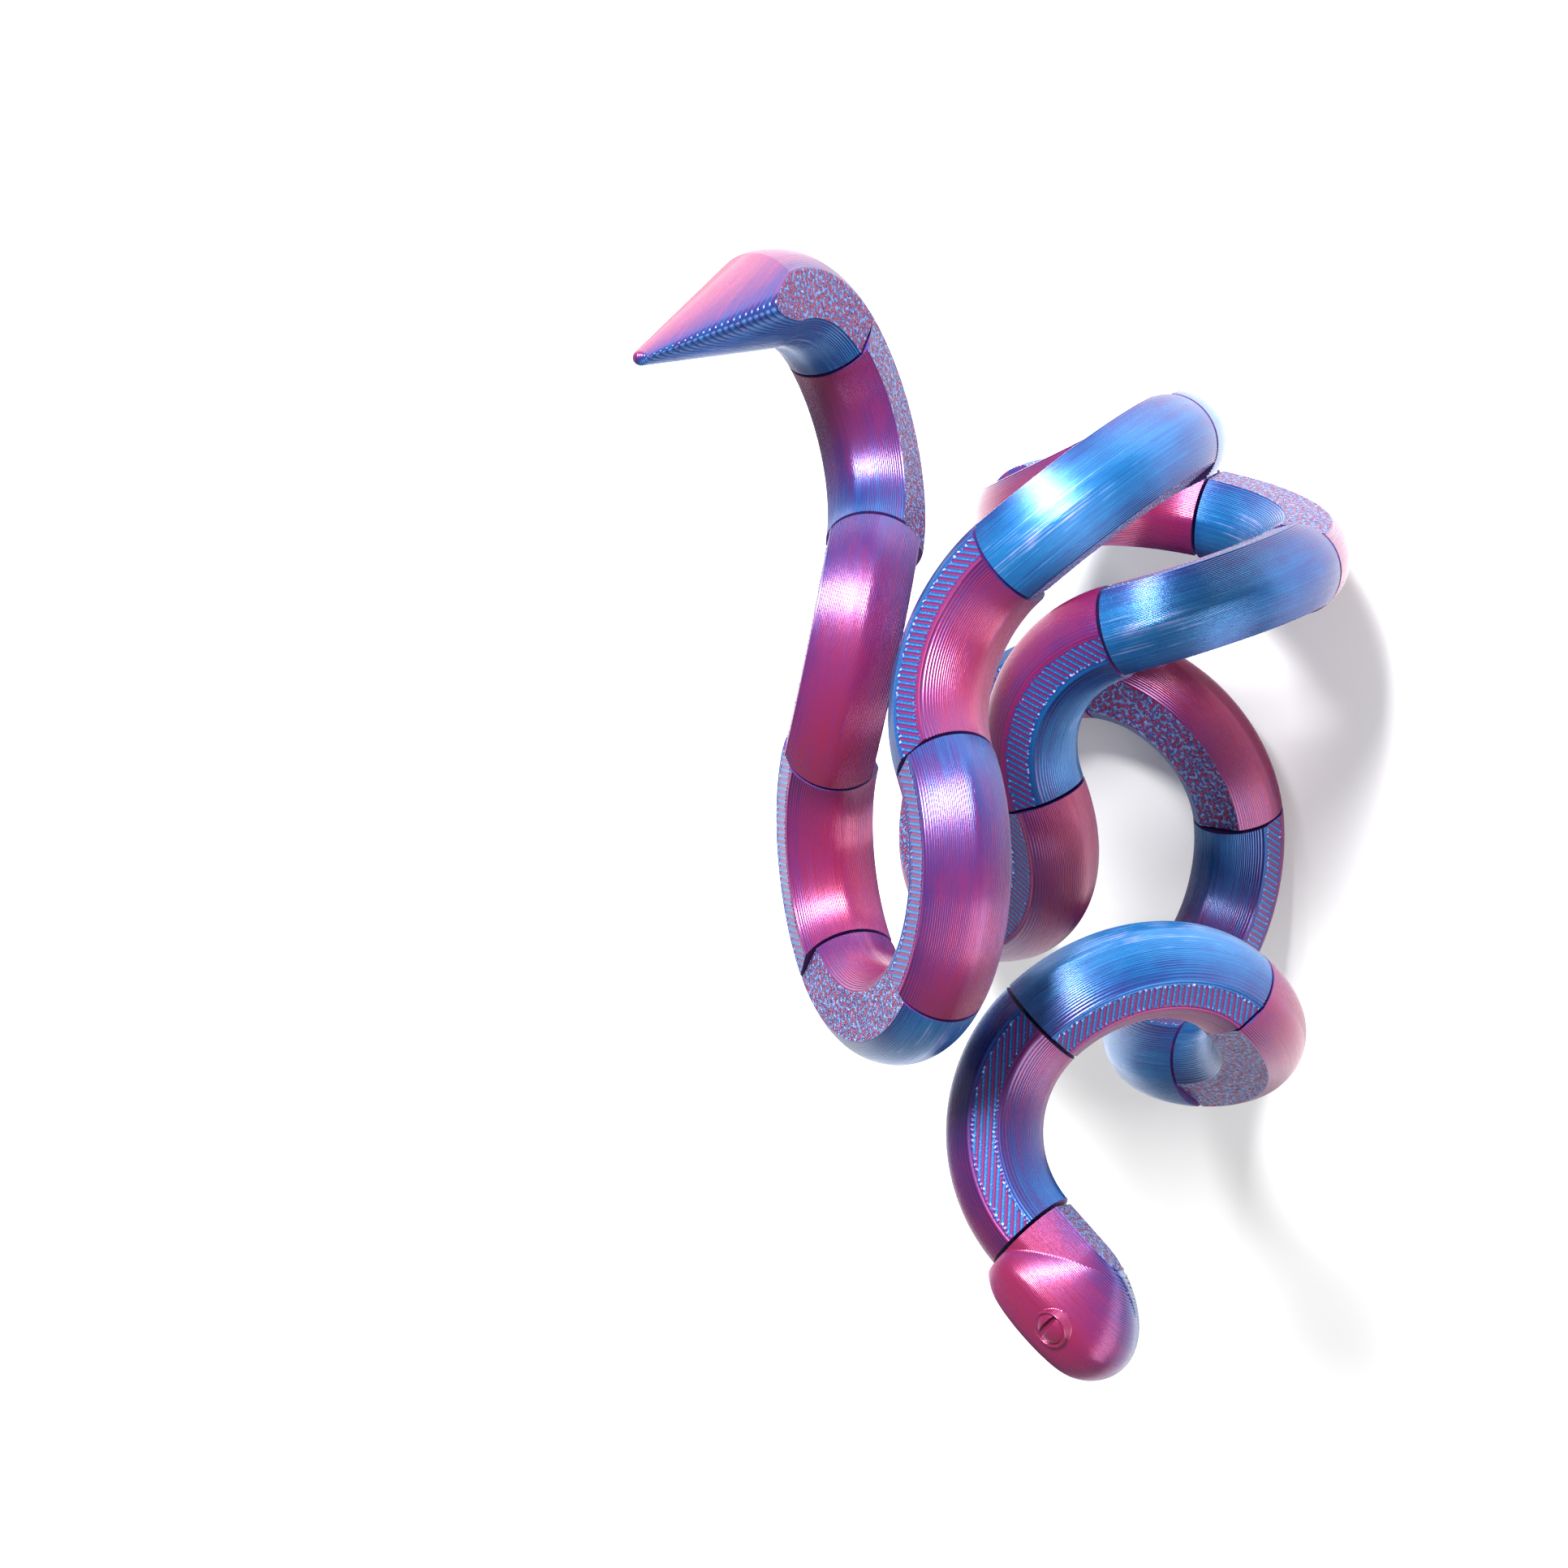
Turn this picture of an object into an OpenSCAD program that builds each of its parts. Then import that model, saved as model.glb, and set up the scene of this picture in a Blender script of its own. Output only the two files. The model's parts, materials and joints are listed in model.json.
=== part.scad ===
// Twisty snake puzzle: a fidget snake of quarter-turn tube links on in-line swivel joints.
// The origin is under the middle of the snake, on the surface that it rests on, and +Z is up.

/* [Body] */
// Outer diameter of the round tube, mm
tube_d = 12; // [11.5:0.1:12.4]
// Bend radius of a link, measured on the tube's centreline, mm
bend_r = 18.3; // [17:0.1:20]
// Height of the flat on the upper side of a link over the centreline, mm
top_flat = 5.68; // [5.2:0.02:5.7]
// Depth of the flat on the plate side of a link under the centreline, mm
plate_flat = 5.26; // [5:0.02:5.7]
// Gap between the end faces of two links, mm
face_gap = 0.5; // [0.3:0.1:0.8]

/* [Swivel joint] */
// Diameter of the pin's neck, mm
neck_d = 4.4; // [3.6:0.1:4.8]
// Diameter of the pin's head, mm
pin_d = 6.8; // [6.2:0.1:7.2]
// Distance from the middle of the joint to the tip of the pin, mm
pin_len = 4.6; // [4.2:0.1:5]
// Clearance around the pin in its socket, mm
pin_clear = 0.25; // [0.2:0.05:0.35]

/* [Tail] */
// Bend of the tail's short arc, degrees
tail_bend = 58; // [45:1:70]
// Length of the tail's cone, mm
cone_len = 30; // [25:1:40]
// Diameter of the rounded tail tip, mm
tip_d = 2; // [1.6:0.1:3]

/* [Head] */
// Length of the head from the joint to the nose, mm
head_len = 19.9; // [19:0.1:24]
// Width of the head across the cheeks, mm
head_w = 15; // [13.5:0.5:17]
// Height of the crown over the centreline, mm
crown = 8.9; // [8:0.1:10]
// Diameter of an eye, mm
eye_d = 4.8; // [4:0.1:5.4]
// Width of the slit across an eye, mm
slit_w = 0.7; // [0.5:0.1:1]

/* [Node] */
// Node to draw, or all of them

/* [Hidden] */
$fn = 96;
tube_r = tube_d / 2;
half_gap = face_gap / 2;
// Straight neck of the pin outside its own end face, and the taper at its tip
neck_len = 0.9;
tip_len = 1.2;
tip_taper = 1;
// How far the socket's flare sits back for each unit of clearance, so that the pin's slope
// is as clear of it as the pin's sides are, and how deep the pin is rooted in its own piece
flare_back = 0.4;
pin_root = 0.6;
// Edge of the cutting blocks, larger than any piece
big = 60;
// Turn of each joint in the stored tangle, tail to head, degrees about the tube
twist = [
    -10, 146, 157, -9, -1, -154, 127, 14, 179, 36, 0, 26,
    80, -151, 46, 22, 45, -83, -78, 124, 52, 53, 96
];
links = len(twist) - 1;
// Place of the tail's arc in the stored tangle
rest_at = [61.88, -18.5, 77.35];
rest_turn = [148.1, 86.95, -150.2];
// Lean of an eye from straight up towards its own side, degrees, and the width of its rim
eye_lean = 62;
rim_w = 0.4;
// The two-colour filament shows as blue, magenta or a purple between them
blue = [0.10, 0.28, 0.78];
magenta = [0.80, 0.16, 0.52];
purple = [0.42, 0.18, 0.66];
// The colour that each link shows most
shade = [
    magenta, magenta, blue, blue, magenta, magenta, blue, blue, purple, purple, blue,
    blue, magenta, purple, purple, blue, magenta, purple, blue, magenta, blue, purple
];

function two(i) = str(i < 10 ? "0" : "", i);
function link_name(i) = str("link_", two(i));

// Which way the upper side of link i faces: 1 is its own +Z, -1 is its own -Z. The snake is
// printed as a zigzag, so the side alternates; the last link bends as the one before it.
function top_side(i) = i % 2 == 1 || i == links ? 1 : -1;

// Bend of piece i, where piece 0 is the tail and the others are links
function bend_of(i) = i == 0 ? tail_bend : 90;

// Puts its children in the frame of piece i: the start of its arc is the origin,
// the tube leaves along +X and bends towards +Y
module at_piece(i) {
    if (i == 0)
        translate(rest_at) rotate(rest_turn) children();
    else
        at_piece(i - 1) at_arc_end(bend_of(i - 1)) rotate([twist[i - 1], 0, 0]) children();
}

// Puts its children at the end of an arc, with the tube's direction along +X
module at_arc_end(bend) {
    translate([bend_r * sin(bend), bend_r * (1 - cos(bend)), 0])
        rotate([0, 0, bend])
            children();
}

// The slab between the two flats, long enough for any piece
module slab(side) {
    low = side > 0 ? plate_flat : top_flat;
    translate([-big, -big, -low])
        cube([2 * big, 2 * big, top_flat + plate_flat]);
}

// Round tube bent along an arc, before the flats are cut
module round_arc(bend) {
    translate([0, bend_r, 0])
        rotate([0, 0, -90])
            rotate_extrude(angle = bend)
                translate([bend_r, 0])
                    circle(r = tube_r);
}

// Half of the pin's section: x is the radius and y is the distance from the middle of the joint
function pin_section(grow, from) = let (
    neck = neck_d / 2 + grow,
    wide = pin_d / 2 + grow,
    flare = wide - neck,
    start = half_gap + neck_len - grow * flare_back,
    far = pin_len + grow
) [
    [0, from],
    [neck, from],
    [neck, start],
    [wide, start + flare],
    [wide, far - tip_len],
    [wide - tip_taper, far],
    [0, far]
];

// Turned shape along +X, used for the pin and for the socket around it
module pin_shape(grow, from) {
    rotate([90, 0, 90])
        rotate_extrude()
            polygon(pin_section(grow, from));
}

// Pin that stands out of a piece's end, drawn in the frame at the end of the arc
module pin() {
    pin_shape(0, -half_gap - pin_root);
}

// Socket in a piece's start, drawn in the frame of the piece
module socket() {
    pin_shape(pin_clear, -1);
}

// Arc with its two flats, its end face set back from the joint, and its pin
module arc_with_pin(bend, side) {
    difference() {
        intersection() {
            round_arc(bend);
            slab(side);
        }
        at_arc_end(bend)
            translate([big / 2 - half_gap, 0, 0])
                cube(big, center = true);
    }
    at_arc_end(bend) pin();
}

// Everything behind the start face of a piece, and the socket in that face
module start_cut() {
    translate([half_gap - big / 2, 0, 0])
        cube(big, center = true);
    socket();
}

// Quarter-turn link: socket at its start, pin at its end
module link(i) {
    color(shade[i - 1])
        at_piece(i)
            difference() {
                arc_with_pin(90, top_side(i));
                start_cut();
            }
}

// Tail: a short arc with a pin at one end and a long cone at the other
module tail() {
    color(magenta)
        at_piece(0) {
            arc_with_pin(tail_bend, 1);
            intersection() {
                union() {
                    rotate([0, -90, 0])
                        cylinder(h = cone_len - tip_d / 2, r1 = tube_r, r2 = tip_d / 2);
                    translate([tip_d / 2 - cone_len, 0, 0])
                        sphere(d = tip_d);
                }
                slab(1);
            }
        }
}

// Ellipsoid with its middle in the head's own plane of symmetry
module lobe(x, z, radii) {
    translate([x, 0, z])
        scale(radii)
            sphere(r = 1, $fn = 36);
}

// Rounded body of the head: the skull overhangs the neck on the crown side, and the cheeks
// reach just below the plate side, where they are cut flat
module head_body() {
    cheek = head_w / 2;
    skull = [6.6, cheek - 0.2, 5.8];
    cheeks = [8.2, cheek - 0.3, (crown + plate_flat) / 2 - 0.4];
    nose = [6.5, cheek - 0.7, 5.9];
    cheek_cut = 0.15;
    intersection() {
        hull() {
            lobe(4.5, crown - skull[2], skull);
            lobe(9.2, cheeks[2] - plate_flat - cheek_cut, cheeks);
            lobe(head_len - nose[0], crown - nose[2], nose);
        }
        translate([0, -big / 2, -plate_flat])
            cube(big);
    }
}

// Eye on one cheek: a rim with a low dome in it, and an upright slit across the dome.
// side is 1 or -1
module eye(side) {
    rim_h = 0.6;
    dome_r = 3.1;
    dome_rise = 1.1;
    root = 1.6;
    translate([11.2, side * (head_w / 2 - 1.1), 4.2])
        rotate([-side * eye_lean, 0, 0])
            difference() {
                union() {
                    translate([0, 0, -root])
                        rotate_extrude()
                            translate([eye_d / 2 - rim_w, 0])
                                square([rim_w, root + rim_h]);
                    intersection() {
                        translate([0, 0, dome_rise - dome_r])
                            sphere(r = dome_r);
                        translate([0, 0, -root])
                            cylinder(d = eye_d - rim_w, h = root + dome_rise);
                    }
                }
                translate([-0.5 - slit_w / 2, -eye_d / 2 + rim_w, dome_rise - 0.7])
                    cube([slit_w, eye_d - 2 * rim_w, 1]);
            }
}

// Head: a neck collar with the socket, the head's body and two eyes
module head() {
    color(magenta)
        at_piece(links + 1)
            difference() {
                union() {
                    intersection() {
                        rotate([0, 90, 0])
                            cylinder(h = head_len / 2, r = tube_r);
                        slab(1);
                    }
                    head_body();
                    eye(1);
                    eye(-1);
                }
                start_cut();
            }
}

tail();
for (i = [1:links])
    link(i);
head();
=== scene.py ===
import json
import math
import bpy
import numpy as np
from mathutils import Matrix, Vector

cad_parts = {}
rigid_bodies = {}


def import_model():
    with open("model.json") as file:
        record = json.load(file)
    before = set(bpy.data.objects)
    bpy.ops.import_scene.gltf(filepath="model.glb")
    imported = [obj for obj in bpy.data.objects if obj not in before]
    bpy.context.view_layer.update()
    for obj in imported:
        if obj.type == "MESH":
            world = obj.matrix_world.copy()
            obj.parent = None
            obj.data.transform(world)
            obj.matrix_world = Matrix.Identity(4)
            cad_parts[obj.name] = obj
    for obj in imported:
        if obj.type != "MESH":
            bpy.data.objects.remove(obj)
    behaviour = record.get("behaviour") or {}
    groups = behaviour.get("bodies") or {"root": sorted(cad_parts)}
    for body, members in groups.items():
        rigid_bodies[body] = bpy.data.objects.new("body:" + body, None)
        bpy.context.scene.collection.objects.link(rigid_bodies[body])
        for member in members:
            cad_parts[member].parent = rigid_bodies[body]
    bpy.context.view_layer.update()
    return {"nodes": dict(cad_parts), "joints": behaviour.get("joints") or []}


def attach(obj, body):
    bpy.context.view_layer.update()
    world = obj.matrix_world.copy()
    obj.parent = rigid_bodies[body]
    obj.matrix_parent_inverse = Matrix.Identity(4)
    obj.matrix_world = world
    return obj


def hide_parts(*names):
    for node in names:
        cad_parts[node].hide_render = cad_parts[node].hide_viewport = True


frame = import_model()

MM = 0.001

# ---------------------------------------------------------------- sizes, mm
TUBE_R = 6.0            # radius of the round tube
LAYER = 0.2             # printed layer height
BEAD = 0.045            # how far a layer's bead stands out of the valley beside it
GAP = 0.25              # end face to the middle of the joint
ARC_STEP = 2.25         # degrees of arc between the cross-sections of a link
LINE = 0.40             # width of one printed line on the flats
NECK_R = 2.2            # pin and socket, as in the CAD model
PIN_R = 3.4
PIN_LEN = 4.6
CLEAR = 0.25
NECK_LEN = 0.9          # straight neck outside the pin's own end face
TIP_LEN = 1.2           # tapered end of the pin, and how far it tapers
TIP_TAPER = 1.0
TAIL_BEND = 58.0
TAIL_TURN = -10.0       # turn of the first link against the tail
HEAD_TURN = 96.0        # turn of the head against the last link
CONE_LEN = 30.0
TIP_R = 1.0
HEAD_LEN = 19.9
HEAD_W = 15.0
CROWN = 8.9
PLATE_FLAT = 5.26
# Rounded bodies that the head's skin wraps: middle along the snake, middle height, and radii
HEAD_LOBES = [
    (4.5, CROWN - 5.8, (6.6, HEAD_W / 2 - 0.2, 5.8)),
    (9.2, 1.27, (8.2, HEAD_W / 2 - 0.3, 6.68)),
    (HEAD_LEN - 6.5, CROWN - 5.9, (6.5, HEAD_W / 2 - 0.7, 5.9)),
]
EYE_X = 11.2            # place, size and lean of the eyes
EYE_Y = HEAD_W / 2 - 0.75
EYE_Z = 4.2
EYE_R = 2.4
EYE_LEAN = math.radians(62)
RIM_W = 0.4
RIM_H = 0.6
RIM_SLOPE = 4
DOME_R = 3.1
DOME_RISE = 1.1
SLIT_X = -0.5
SLIT_W = 0.7
SLIT_DEPTH = 0.9
SLIT_SLOPE = 3.0
EYE_STAND = 1.6         # furthest that any part of an eye stands out sideways

LINKS = [f"link_{i:02d}" for i in range(1, 23)]
# Direction that the filament's blue side faces in each piece's own plane, degrees from the
# direction in which the tube leaves its start
BLUE_WAY = {
    "tail": 90, "link_01": 240, "link_02": 185, "link_03": 315, "link_04": 345, "link_05": 65,
    "link_06": 315, "link_07": 290, "link_08": 315, "link_09": 135, "link_10": 315,
    "link_11": 135, "link_12": 350, "link_13": 135, "link_14": 100, "link_15": 135,
    "link_16": 315, "link_17": 135, "link_18": 60, "link_19": 315, "link_20": 135,
    "link_21": 315, "link_22": 225, "head": 270,
}
# How far the blue side tilts towards the build plate, degrees
BLUE_TILT = {"tail": 24, "head": 22}
# Direction of the lines on a piece's upper flat, degrees in the same plane
LINE_WAY = {name: 135 for name in BLUE_WAY}
LINE_WAY["link_22"] = 45


# ---------------------------------------------------------------- places
def joint_list():
    """Joints from the tail to the head: place (mm) and the direction along the snake."""
    order = ["tail"] + LINKS + ["head"]
    found = []
    for before, after in zip(order, order[1:]):
        for joint in frame["joints"]:
            if {joint["parent"], joint["child"]} == {before, after}:
                sign = 1 if joint["child"] == after else -1
                found.append((np.array(joint["pos_m"]) / MM, sign * np.array(joint["axis"])))
    return found


JOINTS = joint_list()


def axes(x, y):
    """Right-handed frame with X along x and Y near y, as columns."""
    x = x / np.linalg.norm(x)
    y = y - (y @ x) * x
    y = y / np.linalg.norm(y)
    return np.stack([x, y, np.cross(x, y)], 1)


def about_x(degrees):
    a = math.radians(degrees)
    c, s = math.cos(a), math.sin(a)
    return np.array([[1, 0, 0], [0, c, -s], [0, s, c]])


def about_z(degrees):
    a = math.radians(degrees)
    c, s = math.cos(a), math.sin(a)
    return np.array([[c, -s, 0], [s, c, 0], [0, 0, 1]])


LINK_FRAMES = [(axes(a[1], b[1]), a[0]) for a, b in zip(JOINTS, JOINTS[1:])]
BEND_R = float(np.mean([(b[0] - a[0]) @ f[0][:, 0]
                        for a, b, f in zip(JOINTS, JOINTS[1:], LINK_FRAMES)]))


def tail_frame():
    """Frame at the start of the tail's arc, worked back from the first link."""
    turn = LINK_FRAMES[0][0] @ about_x(-TAIL_TURN) @ about_z(-TAIL_BEND)
    bend = math.radians(TAIL_BEND)
    end = np.array([BEND_R * math.sin(bend), BEND_R * (1 - math.cos(bend)), 0])
    return turn, JOINTS[0][0] - turn @ end


def head_frame():
    """Frame at the end of the last link, turned as the head is."""
    return LINK_FRAMES[-1][0] @ about_z(90) @ about_x(HEAD_TURN), JOINTS[-1][0]


PLACES = dict(zip(LINKS, LINK_FRAMES))
PLACES["tail"] = tail_frame()
PLACES["head"] = head_frame()


def flats(name):
    """Which way a piece's upper side faces along its own Z, how high its upper flat lies and
    how deep its plate side."""
    turn, origin = PLACES[name]
    mesh = frame["nodes"][name].data
    co = np.empty(len(mesh.vertices) * 3)
    mesh.vertices.foreach_get("co", co)
    heights = (co.reshape(-1, 3) / MM - origin) @ turn[:, 2]
    up, down = heights.max(), -heights.min()
    return (1, up, down) if up > down else (-1, down, up)


# ---------------------------------------------------------------- mesh pieces
class Skin:
    """Collects patches of one piece: points in its print frame with the colour and grain
    coordinates that its material reads."""

    def __init__(self):
        self.points, self.faces, self.blue, self.grain, self.slots = [], [], [], [], []
        self.count = 0

    def patch(self, grid, blue, grain, material, flip=False):
        """Quads between the rows of grid, a (rows, columns, 3) array."""
        rows, columns = grid.shape[:2]
        index = self.count + np.arange(rows * columns).reshape(rows, columns)
        quads = np.stack([index[:-1, :-1], index[:-1, 1:], index[1:, 1:], index[1:, :-1]], -1)
        quads = quads.reshape(-1, 4)
        if flip:
            quads = quads[:, ::-1]
        self.points.append(grid.reshape(-1, 3))
        self.faces.append(quads)
        self.blue.append(np.broadcast_to(blue, (rows, columns)).reshape(-1))
        self.grain.append(np.broadcast_to(grain, (rows, columns, 2)).reshape(-1, 2))
        self.slots.append(np.full(len(quads), material))
        self.count += rows * columns

    def build(self, name, turn, origin, materials):
        """Turns the patches into one object in the shared frame."""
        points = np.concatenate(self.points)
        faces = np.concatenate(self.faces)
        blue = np.concatenate(self.blue)
        grain = np.concatenate(self.grain)
        slots = np.concatenate(self.slots)
        world = (points @ turn.T + origin) * MM
        if np.linalg.det(turn) < 0:     # a mirrored print frame turns the faces inside out
            faces = faces[:, ::-1]
        mesh = bpy.data.meshes.new(name)
        mesh.vertices.add(len(world))
        mesh.vertices.foreach_set("co", world.ravel())
        mesh.loops.add(faces.size)
        mesh.loops.foreach_set("vertex_index", faces.ravel())
        mesh.polygons.add(len(faces))
        mesh.polygons.foreach_set("loop_start", np.arange(0, faces.size, 4))
        mesh.polygons.foreach_set("material_index", slots)
        for material in materials:
            mesh.materials.append(material)
        mesh.update(calc_edges=True)
        mesh.polygons.foreach_set("use_smooth", slots != INSIDE)
        # the tone carries the filament's side and, on the loops and above 1, a painted pale
        # highlight
        tone = mesh.attributes.new("blue_side_and_glint", "FLOAT", "POINT")
        tone.data.foreach_set("value", blue)
        uv = mesh.uv_layers.new(name="grain")
        uv.data.foreach_set("uv", grain[faces.ravel()].ravel())
        piece = bpy.data.objects.new(name, mesh)
        bpy.context.scene.collection.objects.link(piece)
        return piece


# Rows across one printed layer: share of its height, and share of BEAD that the row lies in
# from the bead's crest
LAYER_ROWS = ((0.09, 1.0), (0.5, 0.0), (0.91, 1.0))


def blue_of(normals, way):
    """How blue walls with these normals look: 1 where they face the blue side's way, and -1
    where they face away from it."""
    a = math.radians(way)
    return normals[..., 0] * math.cos(a) + normals[..., 1] * math.sin(a)


def arc_points(angle, offset):
    """Points of the arc's plane at angles along it, offset outwards from the centreline."""
    r = BEND_R + offset
    return np.stack([r * np.sin(angle), BEND_R - r * np.cos(angle)], -1)


def face_rings(skin, loop, centre, out, rings, flip):
    """Closes an end face: quads run from its outline in to a turned pin or socket.
    rings holds (radius, distance along out) pairs, and out is the face's own direction."""
    flat = loop - centre
    flat = flat - np.outer(flat @ out, out)
    unit = flat / np.linalg.norm(flat, axis=1)[:, None]
    rows = [loop]
    for radius, along in rings:
        rows.append(centre + unit * radius + out * along)
    grid = np.stack(rows)
    grain = np.zeros((len(rows), len(loop), 2))
    grain[..., 0] = np.linspace(0, 1, len(loop))[None]
    grain[..., 1] = np.array([0] + [along for _, along in rings])[:, None]
    skin.patch(grid, 0.0, grain, INSIDE, flip)


NEAR_AXIS = 0.01        # the last ring of a pin or socket closes on its axis
FLARE = PIN_R - NECK_R
PIN_RINGS = [
    (NECK_R, 0.0),
    (NECK_R, 2 * GAP + NECK_LEN),
    (PIN_R, 2 * GAP + NECK_LEN + FLARE),
    (PIN_R, GAP + PIN_LEN - TIP_LEN),
    (PIN_R - TIP_TAPER, GAP + PIN_LEN),
    (NEAR_AXIS, GAP + PIN_LEN),
]
SOCKET_NECK = 0.8
SOCKET_END = PIN_LEN + 0.1
SOCKET_RINGS = [
    (NECK_R + CLEAR, 0.0),
    (NECK_R + CLEAR, -SOCKET_NECK),
    (PIN_R + CLEAR, -SOCKET_NECK - FLARE),
    (PIN_R + CLEAR, TIP_LEN - PIN_LEN),
    (PIN_R - 0.8, -SOCKET_END),
    (NEAR_AXIS, -SOCKET_END),
]
WALL, UPPER, PLATE, INSIDE = 0, 1, 2, 3     # material slots of a piece

# ---------------------------------------------------------------- printed surfaces
BORDER = 1.6 * LINE     # width of the perimeter lines along a flat's edge
LOOP_PITCH = 0.62       # spacing of the loose loops where the diagonal lines turn
LOOP_PAINTED_GLINT = 1.45        # painted highlight: the loops' pale glint, set on the filament's colour scale
LINE_RISE = 0.07        # height of the lines, of the loops and of the plate side's bumps
LOOP_RISE = 0.13
PLATE_RISE = 0.06
LINK_PLATE_TONE = 0.25  # mean colour of the plate side on a link and on the head
HEAD_PLATE_TONE = 0.5
UPPER_GRID = 0.11       # spacing of the mesh points on an upper flat and on a plate side
PLATE_GRID = 0.19
RIM_FADE = 0.1          # the relief fades out this close to a flat's edge
LINK_SHIFT = 40         # how far on the grain starts on a piece's second wall: links, end pieces
END_SHIFT = 60
TAIL_SEED = 40          # seeds of the end pieces' plate sides; a link's is its place in LINKS
HEAD_SEED = 41


def ridges(distance):
    """Rounded printed lines side by side, 0 in the valleys and 1 on the crests."""
    return (0.5 - 0.5 * np.cos(2 * math.pi * distance / LINE)) ** 0.6


def upper_relief(along, across, half, across_lines):
    """Height of the printed lines on an upper flat, and how blue they look, with a painted
    highlight on the loose loops. Perimeter lines follow the flat's edges, diagonal lines fill the
    rest, and loose loops stand where those turn. half is the flat's half-width, and across_lines
    the distance across the diagonals."""
    edge = half - np.abs(across)
    wobble = 0.10 * np.sin(along * 2.9 + across * 1.7) + 0.06 * np.sin(along * 7.3)
    inside = edge - BORDER + wobble
    infill = np.clip(inside / 0.08, 0, 1)
    turns = np.exp(-((inside - 0.12) / 0.16) ** 2)
    pace = 2 * math.pi * along / LOOP_PITCH + across + 1.3 * np.sin(along * 0.9)
    patchy = 0.6 + 0.4 * np.sin(along * 1.7 + 2 * np.sin(along * 0.61) + across)
    loops = turns * patchy * np.clip(np.cos(pace), 0, 1)
    lines = infill * ridges(across_lines) + (1 - infill) * ridges(edge)
    # neighbouring lines were printed in opposite directions, so they show opposite sides
    tone = np.clip(2.0 * np.cos(math.pi * across_lines / LINE) + 0.1, -0.7, 0.8)
    # painted highlight: the loops' tone reaches the pale end of the colour ramp
    tone = infill * tone * (1 - loops) + 0.15 * infill + LOOP_PAINTED_GLINT * loops
    return LINE_RISE * lines + LOOP_RISE * loops, tone


def plate_relief(shape, seed):
    """Fine bumps that the textured build plate leaves on a first layer."""
    return PLATE_RISE * np.random.default_rng(seed).random(shape)


def line_distance(grid, name):
    """Distance across the diagonal lines of a piece's upper flat."""
    line = math.radians(LINE_WAY[name])
    return -grid[..., 0] * math.sin(line) + grid[..., 1] * math.cos(line)


def outline_normals(path, sign):
    """Normals in the print plane of a (columns, 2) path; sign is 1 where the piece lies to the
    left of it."""
    step = np.gradient(path, axis=0)
    step /= np.maximum(np.linalg.norm(step, axis=1), 1e-9)[:, None]     # never divides by 0
    return sign * np.stack([step[:, 1], -step[:, 0]], -1)


def wall(outline, low, high, sign, way, shift=0.0, tilt=0.0):
    """Layered wall from height low to high: outline(height) gives each layer's path, sign is
    as for outline_normals, way and tilt say where the filament's blue side faces, and shift is
    where the grain starts. Returns the wall's points, how blue each looks, and its grain."""
    count = max(2, round((high - low) / LAYER))
    edges = np.linspace(low, high, count + 1)
    rows, blue, grain, middles, normals = [], [], [], [], []
    for a, b in zip(edges, edges[1:]):
        path = outline((a + b) / 2)
        middles.append(path)
        normal = outline_normals(path, sign)
        normals.append(normal)
        run = np.append(0, np.cumsum(np.linalg.norm(np.diff(path, axis=0), axis=1)))
        for share, depth in LAYER_ROWS:
            z = a + share * (b - a)
            rows.append(np.column_stack([path - normal * BEAD * depth, np.full(len(path), z)]))
            blue.append(blue_of(normal, way))
            grain.append(np.column_stack([run + shift, np.full(len(path), z)]))
    grid = np.stack(rows)
    grid[0, :, 2], grid[-1, :, 2] = low, high
    # the flatter the surface lies, the more both colours show through
    climb = np.gradient(np.stack(middles), edges[1] - edges[0], axis=0)
    slope = np.repeat(np.sum(climb * np.stack(normals), -1), len(LAYER_ROWS), axis=0)
    upright = 1 / np.sqrt(1 + slope ** 2)
    tilt = math.radians(tilt)
    tone = upright * (np.stack(blue) * math.cos(tilt) + slope * math.sin(tilt))
    return grid, tone, np.stack(grain)


def rim_height(level, up, down):
    """Middle height of the layer that ends at a flat: that layer's wall meets the flat's rim."""
    step = (up + down) / round((up + down) / LAYER)
    return level - math.copysign(step / 2, level)


def end_loop(sides, levels, end):
    """Outline of an end face: one end column of each wall and flat, all the way round."""
    return np.concatenate([
        sides[1][:, end], levels[UPPER][::-1, end], sides[-1][::-1, end],
        levels[PLATE][:, end], sides[1][:1, end]])


# ---------------------------------------------------------------- link
def link_outline(sign, angle):
    """Path of one side of a link, for any height: sign is 1 outside the bend, -1 inside."""
    def outline(height):
        return arc_points(angle, sign * math.sqrt(TUBE_R ** 2 - height ** 2))
    return outline


def trim_link(grid):
    """Brings both end columns of a link's wall or flat into the planes of its end faces."""
    grid[:, 0, 0] = GAP
    grid[:, -1, 1] = BEND_R - GAP


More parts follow.
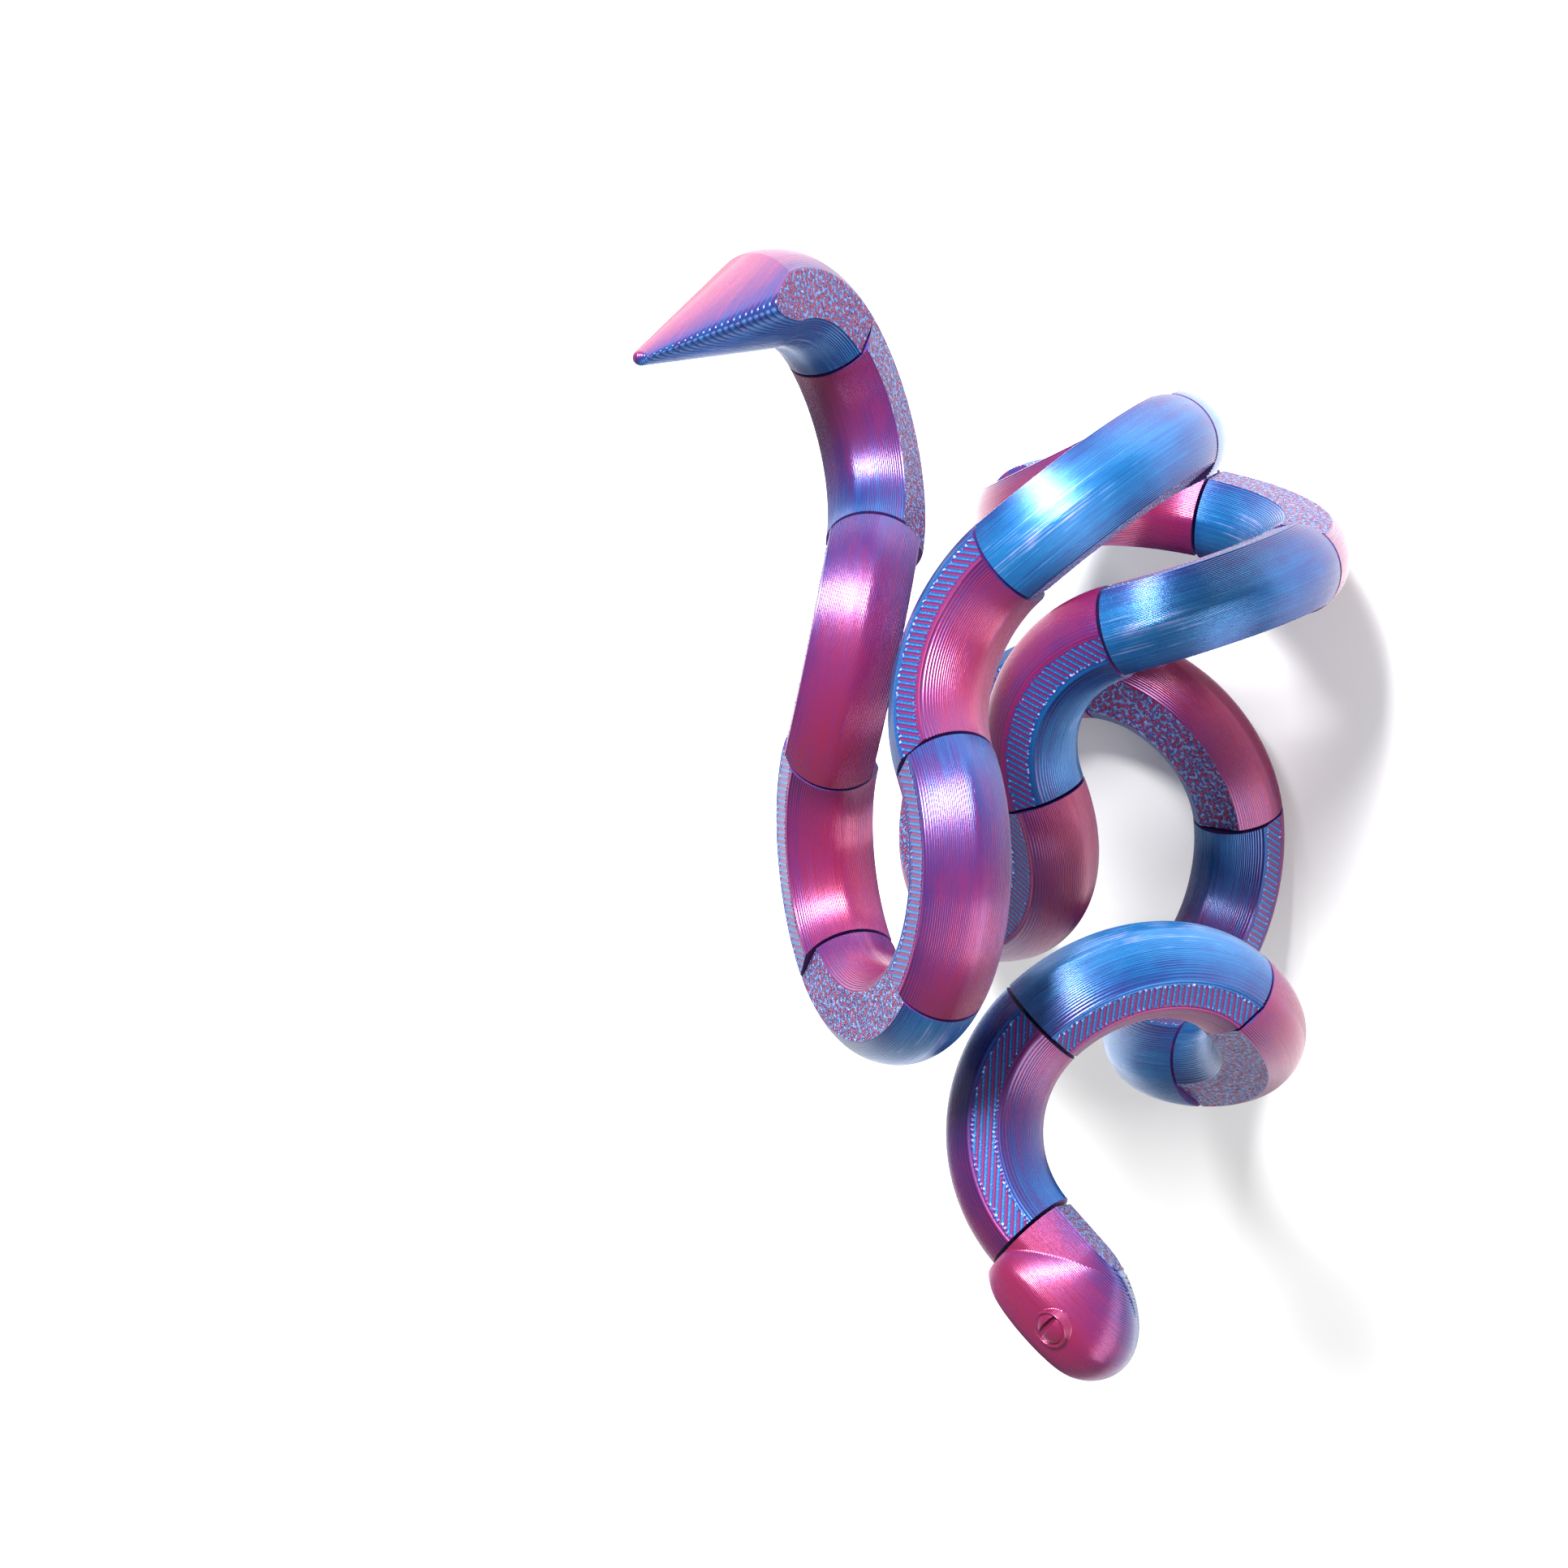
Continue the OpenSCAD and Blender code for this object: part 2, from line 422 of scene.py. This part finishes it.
def make_link(name):
    side, up, down = flats(name)
    turn, origin = PLACES[name]
    # the print frame: its Z runs from the plate side to the upper side
    turn = turn * np.array([1, 1, side])
    way = BLUE_WAY[name]
    skin = Skin()
    end_set = math.asin(GAP / BEND_R)
    angle = np.linspace(end_set, math.pi / 2 - end_set, round(90 / ARC_STEP) + 1)
    sides = {}
    for sign in (1, -1):
        grid, blue, grain = wall(link_outline(sign, angle), -down, up, sign, way,
                                 LINK_SHIFT * (sign < 0))
        trim_link(grid)
        skin.patch(grid, blue, grain, WALL, flip=sign < 0)
        sides[sign] = grid
    levels = {}
    for material, level, fine in ((UPPER, up, UPPER_GRID), (PLATE, -down, PLATE_GRID)):
        wide = math.sqrt(TUBE_R ** 2 - rim_height(level, up, down) ** 2) - BEAD
        across = np.linspace(-wide, wide, round(2 * wide / fine) + 1)
        run = np.linspace(angle[0], angle[-1], round(BEND_R * math.pi / 2 / fine) + 1)
        grid = np.empty((len(across), len(run), 3))
        grid[..., :2] = arc_points(run[None], across[:, None])
        trim_link(grid)
        if material == UPPER:
            relief, tone = upper_relief(run[None] * BEND_R, across[:, None], wide,
                                        line_distance(grid, name))
            # the perimeter lines look as blue as the wall that they top
            normal = np.sign(across)[:, None, None] * np.stack(
                [np.sin(run), -np.cos(run)], -1)[None]
            border = np.clip(1 - (wide - np.abs(across)) / (2 * LINE), 0, 1)[:, None] ** 0.3
            tone = tone + border * blue_of(normal, way) * 0.8
        else:
            relief = -plate_relief(grid.shape[:2], LINKS.index(name))
            tone = LINK_PLATE_TONE
        fade = np.clip((wide - np.abs(across)) / RIM_FADE, 0, 1)[:, None]
        grid[..., 2] = level + relief * fade
        skin.patch(grid, tone, grid[..., :2].copy(), material, flip=material == PLATE)
        levels[material] = grid
    start, finish = np.array([GAP, 0, 0]), np.array([BEND_R, BEND_R - GAP, 0])
    face_rings(skin, end_loop(sides, levels, 0), start, np.array([-1.0, 0, 0]),
               SOCKET_RINGS, flip=True)
    face_rings(skin, end_loop(sides, levels, -1), finish, np.array([0, 1.0, 0]),
               PIN_RINGS, flip=False)
    return skin.build(name + "_print", turn, origin, SILK)


# ---------------------------------------------------------------- tail
CONE_STRAIGHT = CONE_LEN - TIP_R
CONE_COLUMNS = 110
CREASE_STEP = 0.002     # radians of arc to the column that keeps the cone's crease sharp
CREASE_TONE = -1.4      # pink of the loops across the plate side at that crease


def cone_radius(back):
    """Radius of the cone and of its round tip, at distances back from the arc."""
    straight = TUBE_R - (TUBE_R - TIP_R) * back / CONE_STRAIGHT
    beyond = np.clip(back - CONE_STRAIGHT, 0, TIP_R)
    return np.where(back < CONE_STRAIGHT, straight, np.sqrt(TIP_R ** 2 - beyond ** 2))


def cone_reach(height):
    """How far back from the arc a layer at this height goes."""
    h = abs(height)
    if h < TIP_R:
        return CONE_STRAIGHT + math.sqrt(TIP_R ** 2 - h * h)
    return CONE_STRAIGHT * (TUBE_R - h) / (TUBE_R - TIP_R)


def tail_outline(sign, angle):
    """Path of one side of the tail, from the tip to the end of the arc, for any height."""
    share = np.linspace(0, 1, CONE_COLUMNS) ** 2

    def outline(height):
        back = cone_reach(height) * (1 - share)
        half = np.sqrt(np.maximum(cone_radius(back) ** 2 - height ** 2, 0))
        cone = np.stack([-back, -sign * half], -1)
        bend = arc_points(angle[1:], sign * math.sqrt(TUBE_R ** 2 - height ** 2))
        return np.concatenate([cone, bend])
    return outline


def crease_row(along, across):
    """Row of loose loops, 0 to 1, that closes the plate side where the cone lifts off it."""
    return np.exp(-((along + 0.7) / 0.35) ** 2) * (np.cos(across * 6.0) > -0.2)


def make_tail(name):
    _, up, down = flats(name)
    turn, origin = PLACES[name]
    skin = Skin()
    bend = math.radians(TAIL_BEND)
    out = np.array([math.cos(bend), math.sin(bend), 0])
    middle = np.array([BEND_R * math.sin(bend), BEND_R * (1 - math.cos(bend)), 0]) - GAP * out
    angle = np.linspace(0, bend, round(TAIL_BEND / ARC_STEP) + 1)
    angle = np.insert(angle, 1, CREASE_STEP)

    def trim(grid):
        """Brings the last column into the plane of the end face."""
        grid[:, -1] -= ((grid[:, -1] - middle) @ out)[:, None] * out

    sides = {}
    for sign in (1, -1):
        grid, blue, grain = wall(tail_outline(sign, angle), -down, up, sign, BLUE_WAY[name],
                                 END_SHIFT * (sign < 0), BLUE_TILT[name])
        trim(grid)
        skin.patch(grid, blue, grain, WALL, flip=sign < 0)
        sides[sign] = grid
    levels = {}
    for material, level, fine in ((UPPER, up, UPPER_GRID), (PLATE, -down, PLATE_GRID)):
        rim = rim_height(level, up, down)
        wide = math.sqrt(TUBE_R ** 2 - rim ** 2) - BEAD
        reach = cone_reach(rim)
        back = reach * (1 - np.linspace(0, 1, round(reach / fine) + 2) ** 2)[:-1]
        taper = np.sqrt(np.maximum(cone_radius(back) ** 2 - rim ** 2, 0)) * (
            wide / (wide + BEAD))
        run = np.linspace(0, bend, round(BEND_R * bend / fine) + 1)
        share = np.linspace(-1, 1, round(2 * wide / fine) + 1)[:, None]
        grid = np.empty((len(share), len(back) + len(run), 3))
        grid[:, :len(back), 0] = -back
        grid[:, :len(back), 1] = -share * taper
        grid[:, len(back):, :2] = arc_points(run[None], share * wide)
        half = np.append(taper, np.full(len(run), wide))
        across = share * half
        edge = half - np.abs(across)
        along = np.append(-back, run * BEND_R)[None]
        if material == UPPER:
            relief, tone = upper_relief(along, across, edge + np.abs(across),
                                        line_distance(grid, name))
        else:
            row = crease_row(along, across)
            relief = -plate_relief(grid.shape[:2], TAIL_SEED) - 2 * PLATE_RISE * row
            tone = CREASE_TONE * row
        grid[..., 2] = level + relief * np.clip(edge / RIM_FADE, 0, 1)
        trim(grid)
        skin.patch(grid, tone, grid[..., :2].copy(), material, flip=material == PLATE)
        levels[material] = grid
    face_rings(skin, end_loop(sides, levels, -1), middle, out, PIN_RINGS, flip=False)
    return skin.build(name + "_print", turn, origin, SILK)


# ---------------------------------------------------------------- head
SMOOTH = 14             # how sharply the skin turns from one lobe of the head to the next
LOBE_SHARE = 1.25       # evens out the skin's swelling where two lobes are equally far out
HEAD_COLUMNS = 190
CROWN_GRID = 0.5        # spacing of the mesh points on the last layer and on the plate side
CHIN_GRID = 0.22
TOP_TRIM = 0.05         # the last layer lies this far under the crown's highest point
COLLAR_STRAIGHT = 7.0   # the neck collar's sides run straight this far along the snake
PROW_LOW = 9.7          # its prow reaches this far at the plate, and PROW_RUN further at
PROW_RUN = 5.0          # PROW_RISE over the plate
PROW_RISE = 1.76
COLLAR_TOP = 5.68       # its own upper flat
COLLAR_STEP = 0.08      # spacing of its outline's points
SKIN_GRID = (361, 241)  # azimuths and slopes of the normals that the skin is worked out for
NO_EYE = -9             # height far below the skin, where the eye has nothing


def head_skin():
    """Points of the smooth skin round the lobes, for normals at azimuths from the nose to the
    back of the skull (rows) and at slopes from straight down to straight up (columns)."""
    azimuth = np.linspace(0, math.pi, SKIN_GRID[0])[:, None]
    slope = np.linspace(-math.pi / 2, math.pi / 2, SKIN_GRID[1])[None]
    n = np.stack([np.cos(azimuth) * np.cos(slope), np.sin(azimuth) * np.cos(slope),
                  np.sin(slope) + 0 * azimuth], -1)
    middle = np.array([HEAD_LEN / 2, 0, 2.0])
    reach, touch = [], []
    for x, z, radii in HEAD_LOBES:
        centre = np.array([x, 0, z]) - middle
        stretched = np.array(radii) * n
        size = np.linalg.norm(stretched, axis=-1)
        reach.append(n @ centre + size)
        touch.append(centre + np.array(radii) * stretched / size[..., None])
    reach = np.stack(reach)
    total = (np.sum(reach ** SMOOTH, 0) / LOBE_SHARE) ** (1 / SMOOTH)
    weight = (reach / total) ** (SMOOTH - 1) / LOBE_SHARE
    return middle + np.sum(weight[..., None] * np.stack(touch), 0)


def collar_prow(height):
    """How far along the snake the neck collar reaches, as a rounded prow under the chin."""
    return PROW_LOW + PROW_RUN * math.sqrt(min(max(height + PLATE_FLAT, 0) / PROW_RISE, 1))


def collar_half(x, height, prow):
    """Half-width of the neck collar at distances x along the snake."""
    beyond = np.clip((x - COLLAR_STRAIGHT) / (prow - COLLAR_STRAIGHT), 0, 1)
    return math.sqrt(TUBE_R ** 2 - height ** 2) * np.sqrt(1 - beyond ** 2)


def half_outline(skin_points, height):
    """Right half of the head's outline at a height: from its start round to the nose."""
    x = np.array([np.interp(height, row[:, 2], row[:, 0]) for row in skin_points])[::-1]
    y = np.array([np.interp(height, row[:, 2], row[:, 1]) for row in skin_points])[::-1]
    x = np.maximum.accumulate(x)
    y[0] = y[-1] = 0
    if abs(height) < COLLAR_TOP:
        prow = collar_prow(height)
        near = np.append(np.arange(GAP, prow - 0.03, COLLAR_STEP), prow)
        start = np.maximum(np.interp(near, x, y, left=0, right=0),
                           collar_half(near, height, prow))
        rest = x > near[-1] + COLLAR_STEP / 2
        x, y = np.append(near, x[rest]), np.append(start, y[rest])
    elif x[0] < GAP:
        first = np.interp(GAP, x, y)
        rest = x > GAP + 0.01
        x, y = np.append(GAP, x[rest]), np.append(first, y[rest])
    # points lie closer together beside the eye
    step = np.hypot(np.diff(x), np.diff(y))
    run = np.append(0, np.cumsum(step * (1 + 1.5 * np.exp(-((x[1:] - EYE_X) / 3.2) ** 2))))
    even = np.linspace(0, run[-1], HEAD_COLUMNS)
    return np.stack([np.interp(even, run, x), np.interp(even, run, y)], -1)


def head_outline(skin_points, sign):
    """Path of one side of the head, for any height."""
    return lambda height: half_outline(skin_points, height) * np.array([1, -sign])


def eye_reach(x, y, z):
    """How far out the eye stands beside each point of the head's right cheek."""
    c, s = math.cos(EYE_LEAN), math.sin(EYE_LEAN)
    out = np.linspace(0, EYE_STAND, 81)
    dy = y[..., None] + out - EYE_Y
    dz = (z - EYE_Z)[..., None]
    across = (x - EYE_X)[..., None]
    lift = s * dy + c * dz
    along = c * dy - s * dz
    r = np.sqrt(across ** 2 + along ** 2)
    ring = RIM_H - RIM_SLOPE * np.maximum(np.abs(r - EYE_R + RIM_W / 2) - RIM_W / 4, 0)
    dome = np.sqrt(np.maximum(DOME_R ** 2 - r ** 2, 0)) - DOME_R + DOME_RISE
    outside = np.maximum(np.abs(across - SLIT_X) - SLIT_W / 4, np.abs(along) - EYE_R + RIM_W)
    slit = SLIT_SLOPE * outside + DOME_RISE - SLIT_DEPTH
    height = np.maximum(ring, np.where(r < EYE_R, np.minimum(dome, slit), NO_EYE))
    solid = lift < np.where(r < EYE_R + 0.3, height, NO_EYE)
    return np.max(np.where(solid, out, 0), -1)


def make_head(name):
    turn, origin = PLACES[name]
    skin = Skin()
    points = head_skin()
    top = points[..., 2].max() - TOP_TRIM
    sides = {}
    for sign in (1, -1):
        grid, blue, grain = wall(head_outline(points, sign), -PLATE_FLAT, top, sign,
                                 BLUE_WAY[name], END_SHIFT * (sign < 0), BLUE_TILT[name])
        grid[..., 1] -= sign * eye_reach(grid[..., 0], np.abs(grid[..., 1]), grid[..., 2])
        # low rows start at the neck's end face, and the rows above it on the middle line
        touching = grid[:, 0, 0] < GAP + 2 * BEAD
        grid[touching, 0, 0] = GAP
        grid[:, -1, 1] = 0
        grid[~touching, 0, 1] = 0
        skin.patch(grid, blue, grain, WALL, flip=sign < 0)
        sides[sign] = grid
    levels = {}
    for material, row, fine in ((UPPER, -1, CROWN_GRID), (PLATE, 0, CHIN_GRID)):
        path = sides[1][row]
        widest = np.abs(path[:, 1]).max()
        share = np.linspace(-1, 1, round(2 * widest / fine) + 2)[:, None]
        grid = np.empty((len(share), len(path), 3))
        grid[..., 0] = path[:, 0]
        grid[..., 1] = share * path[:, 1]
        grid[..., 2] = path[0, 2]
        tone = 0.0
        if material == PLATE:
            edge = np.abs(path[:, 1]) * (1 - np.abs(share))
            grid[..., 2] -= plate_relief(grid.shape[:2], HEAD_SEED) * np.clip(
                edge / RIM_FADE, 0, 1)
            tone = HEAD_PLATE_TONE
        skin.patch(grid, tone, grid[..., :2].copy(), material, flip=material == PLATE)
        levels[material] = grid
    # the face's outline: both walls up to the row above it, and the plate side
    last = int(np.argmin(sides[1][:, 0, 0] <= GAP)) + 1
    loop = np.concatenate([
        sides[1][:last, 0], sides[-1][:last, 0][::-1], levels[PLATE][:, 0],
        sides[1][:1, 0]])
    face_rings(skin, loop, np.array([GAP, 0, 0]), np.array([-1.0, 0, 0]), SOCKET_RINGS,
               flip=True)
    return skin.build(name + "_print", turn, origin, SILK)


# ---------------------------------------------------------------- materials
def new_material(name, **uniform):
    """Principled material. uniform holds its even values, with _ for the spaces in the names
    of the shader's sockets."""
    material = bpy.data.materials.new(name)
    material.use_nodes = True
    tree = material.node_tree
    tree.nodes.clear()
    out = tree.nodes.new("ShaderNodeOutputMaterial")
    shader = tree.nodes.new("ShaderNodeBsdfPrincipled")
    tree.links.new(shader.outputs[0], out.inputs[0])
    for socket, value in uniform.items():
        shader.inputs[socket.replace("_", " ")].default_value = value
    return material, tree, shader


def node(tree, kind, **settings):
    """New node with its settings: its inputs by name, and otherwise its own properties."""
    made = tree.nodes.new(kind)
    for key, value in settings.items():
        if key in made.inputs:
            made.inputs[key].default_value = value
        else:
            setattr(made, key, value)
    return made


# The filament from its magenta side (tone -1) round to its blue side (tone 1), and on to a painted
# pale highlight for the glint of loose loops (tone 1.6), linear colours
SILK_AND_GLINT_RAMP = [
    (-1.00, (0.195, 0.008, 0.056)), (-0.60, (0.150, 0.010, 0.088)), (-0.24, (0.084, 0.010, 0.102)),
    (0.04, (0.038, 0.012, 0.118)), (0.28, (0.010, 0.024, 0.146)), (0.60, (0.002, 0.056, 0.210)),
    (1.00, (0.002, 0.108, 0.300)), (1.60, (0.560, 0.430, 0.720)),
]


def silk_colour(tree, tone):
    """The filament's colour for a tone, with a painted pale highlight for tones above 1."""
    low, high = SILK_AND_GLINT_RAMP[0][0], SILK_AND_GLINT_RAMP[-1][0]
    ramp = node(tree, "ShaderNodeValToRGB")
    while len(ramp.color_ramp.elements) < len(SILK_AND_GLINT_RAMP):
        ramp.color_ramp.elements.new(0.5)
    for element, (place, colour) in zip(ramp.color_ramp.elements, SILK_AND_GLINT_RAMP):
        element.position = (place - low) / (high - low)
        element.color = (*colour, 1)
    to_unit = node(tree, "ShaderNodeMapRange")
    to_unit.inputs["From Min"].default_value = low
    to_unit.inputs["From Max"].default_value = high
    tree.links.new(tone, to_unit.inputs["Value"])
    tree.links.new(to_unit.outputs[0], ramp.inputs[0])
    return ramp.outputs[0]


def maths(tree, operation, a, b):
    """Output of a math node on a and b, each a number or another node's output."""
    made = node(tree, "ShaderNodeMath", operation=operation)
    for socket, value in zip(made.inputs, (a, b)):
        if isinstance(value, (int, float)):
            socket.default_value = value
        else:
            tree.links.new(value, socket)
    return made.outputs[0]


def stretched_noise(tree, scale_along, scale_up, detail=2.0):
    """Noise over the grain coordinates, per mm along the layers and per mm up across them."""
    uv = node(tree, "ShaderNodeUVMap", uv_map="grain")
    mapping = node(tree, "ShaderNodeMapping")
    mapping.inputs["Scale"].default_value = (scale_along, scale_up, 1)
    noise = node(tree, "ShaderNodeTexNoise", Scale=1.0, Detail=detail)
    tree.links.new(uv.outputs[0], mapping.inputs[0])
    tree.links.new(mapping.outputs[0], noise.inputs["Vector"])
    return noise.outputs[0]


def centred_noise(tree, scale_along, scale_up, detail=2.0):
    """The same noise, less its mean."""
    return maths(tree, "SUBTRACT", stretched_noise(tree, scale_along, scale_up, detail), 0.5)


def varied_tone(tree, *parts):
    """The mesh's own tone with noises added to it, each as a (noise, weight) pair."""
    tone = node(tree, "ShaderNodeAttribute", attribute_name="blue_side_and_glint").outputs["Fac"]
    for noise, weight in parts:
        tone = maths(tree, "ADD", tone, maths(tree, "MULTIPLY", noise, weight))
    return tone


def add_bump(tree, shader, height, strength, distance):
    """Bump on the shader's normal; distance is in metres."""
    bump = node(tree, "ShaderNodeBump", Strength=strength, Distance=distance)
    tree.links.new(height, bump.inputs["Height"])
    tree.links.new(bump.outputs[0], shader.inputs["Normal"])


def silk_wall():
    """Side walls: satin silk, its colour set by which side of the filament faces out."""
    material, tree, shader = new_material(
        "silk_wall", Metallic=0.5, Specular_IOR_Level=0.4, Coat_Weight=0.45,
        Coat_Roughness=0.22)
    layers = centred_noise(tree, 0.05, 4.0)
    patches = centred_noise(tree, 0.25, 0.6)
    # where the noise lifts the tone past 1, streaks take a little of the ramp's painted pale
    # highlight
    tone = varied_tone(tree, (layers, 0.9), (patches, 0.5))
    tree.links.new(silk_colour(tree, tone), shader.inputs["Base Color"])
    rough = maths(tree, "ADD", maths(tree, "MULTIPLY", layers, 0.25), 0.30)
    tree.links.new(rough, shader.inputs["Roughness"])
    fibres = stretched_noise(tree, 0.8, 6.0)
    add_bump(tree, shader, fibres, strength=0.35, distance=0.00006)
    return material


def silk_upper():
    """Upper flat: diagonal lines that show the two sides of the filament in turn."""
    material, tree, shader = new_material(
        "silk_upper", Roughness=0.36, Metallic=0.45, Specular_IOR_Level=0.5)
    # where the noise lifts the tone past 1, lines take a little of the ramp's painted pale
    # highlight
    tone = varied_tone(tree, (centred_noise(tree, 5, 5, 4), 1.1))
    tree.links.new(silk_colour(tree, tone), shader.inputs["Base Color"])
    return material


def silk_plate():
    """Plate side: speckled blue and pink, sparkling from the textured plate's bumps, and the
    brightest speckles partly painted pale as a highlight.
    """
    material, tree, shader = new_material(
        "silk_plate", Roughness=0.26, Metallic=0.55, Specular_IOR_Level=0.5)
    coarse = centred_noise(tree, 1.8, 1.8, 0)
    fine = centred_noise(tree, 5, 5, 1)
    # painted highlight: the cap lets the bluest speckles run a little past blue, into the ramp's
    # pale end
    tone = maths(tree, "MINIMUM", varied_tone(tree, (coarse, 9.0), (fine, 5.0)), 1.12)
    tree.links.new(silk_colour(tree, tone), shader.inputs["Base Color"])
    add_bump(tree, shader, fine, strength=1.0, distance=0.0005)
    return material


def silk_inside():
    """End faces, pins and sockets: the same filament, duller and mostly in shade."""
    material, tree, shader = new_material("silk_inside", Roughness=0.5)
    rings = maths(tree, "MULTIPLY", centred_noise(tree, 30, 3, 2), 2.0)
    tree.links.new(silk_colour(tree, rings), shader.inputs["Base Color"])
    return material


SILK = [silk_wall(), silk_upper(), silk_plate(), silk_inside()]     # by material slot

for name in ["tail"] + LINKS + ["head"]:
    make = {"tail": make_tail, "head": make_head}.get(name, make_link)
    piece = make(name)
    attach(piece, name)
    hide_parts(name)


# ---------------------------------------------------------------- floor, lights, camera
TARGET = Vector((0.0140, 0.0339, 0.0550))   # metres, as are the other places here
ELEVATION = math.radians(58.37)
ROLL = math.radians(127.6)
DISTANCE = 0.710
LENS = 126.7
SENSOR = 36
FLOOR_HALF = 3.0
FLOOR_GREY = 0.86
SURROUND = 0.52         # strength of the white light from all round


def camera_axes():
    """Right, up and backward directions of the rolled camera."""
    back = Vector((0, -math.cos(ELEVATION), math.sin(ELEVATION)))
    level_up = Vector((0, math.sin(ELEVATION), math.cos(ELEVATION)))
    level_right = Vector((1, 0, 0))
    up = level_up * math.cos(ROLL) + level_right * math.sin(ROLL)
    right = level_right * math.cos(ROLL) - level_up * math.sin(ROLL)
    return right, up, back


def add_camera():
    """Camera on the photograph's view of the snake, which it holds at a slant."""
    right, up, back = camera_axes()
    data = bpy.data.cameras.new("camera")
    data.lens = LENS
    data.sensor_width = SENSOR
    camera = bpy.data.objects.new("camera", data)
    camera.matrix_world = Matrix((
        (right.x, up.x, back.x, 0), (right.y, up.y, back.y, 0), (right.z, up.z, back.z, 0),
        (0, 0, 0, 1)))
    camera.location = TARGET + back * DISTANCE
    bpy.context.scene.collection.objects.link(camera)
    bpy.context.scene.camera = camera


def add_light(name, place, size, power):
    """Square softbox that faces the snake."""
    data = bpy.data.lights.new(name, "AREA")
    data.shape = "SQUARE"
    data.size = size
    data.energy = power
    light = bpy.data.objects.new(name, data)
    light.location = place
    light.rotation_euler = (TARGET - place).to_track_quat("-Z", "Y").to_euler()
    bpy.context.scene.collection.objects.link(light)


def add_stage():
    """Pale floor under the snake and an even white surrounding."""
    half = FLOOR_HALF
    mesh = bpy.data.meshes.new("floor")
    mesh.from_pydata([(-half, -half, 0), (half, -half, 0), (half, half, 0), (-half, half, 0)],
                     [], [(0, 1, 2, 3)])
    floor = bpy.data.objects.new("floor", mesh)
    bpy.context.scene.collection.objects.link(floor)
    material, _, shader = new_material("floor_pale", Roughness=0.8)
    shader.inputs["Base Color"].default_value = (FLOOR_GREY, FLOOR_GREY, FLOOR_GREY, 1)
    mesh.materials.append(material)
    world = bpy.data.worlds.new("studio")
    world.use_nodes = True
    surround = world.node_tree.nodes["Background"]
    surround.inputs["Color"].default_value = (1, 1, 1, 1)
    surround.inputs["Strength"].default_value = SURROUND
    bpy.context.scene.world = world
    bpy.context.scene.view_settings.view_transform = "Standard"


add_camera()
add_stage()
right, up, back = camera_axes()
add_light("key", TARGET + back * 0.7 + up * 0.45 - right * 0.25, size=0.24, power=30)
add_light("fill", TARGET + back * 0.5 - up * 0.5 + right * 0.55, size=0.5, power=5)
